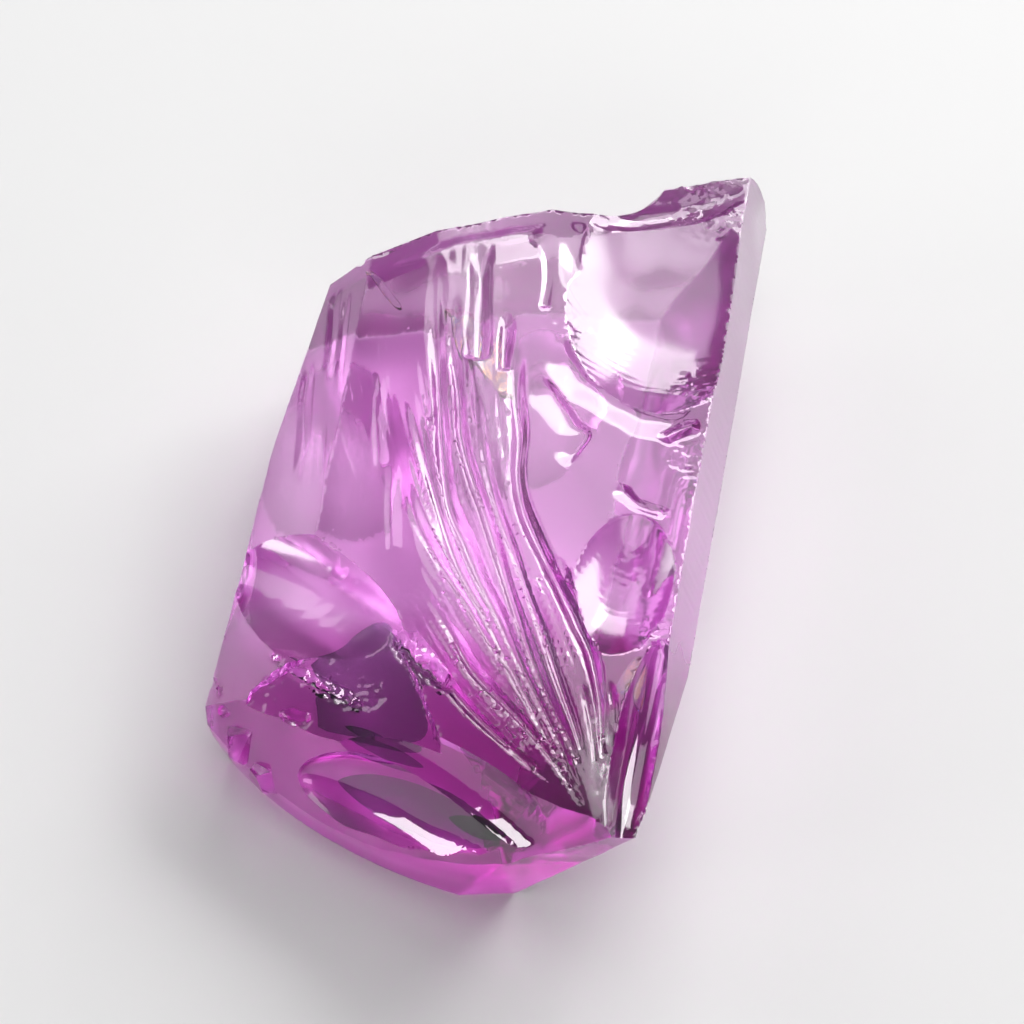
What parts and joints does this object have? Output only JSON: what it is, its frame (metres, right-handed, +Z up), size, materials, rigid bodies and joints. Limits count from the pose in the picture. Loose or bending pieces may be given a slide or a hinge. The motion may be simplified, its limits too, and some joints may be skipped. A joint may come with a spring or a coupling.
{
  "type": "rough crystal",
  "caption": "Broken chunk of clear pink zircon rough with a flat frosted side, shell-shaped fractures and a fan of grooves on its top face.",
  "frame": {"origin": "middle of the bounding box on the plane the piece lies on", "axes": "+Z up through the piece's thickness, +Y along its long axis towards the pointed end"},
  "size_m": [0.0283, 0.0402, 0.0112],
  "materials": {
    "crystal": "glossy, clear, with one frosted side"
  },
  "bodies": {
    "root": {"crystal": "crystal"}
  },
  "joints": []
}
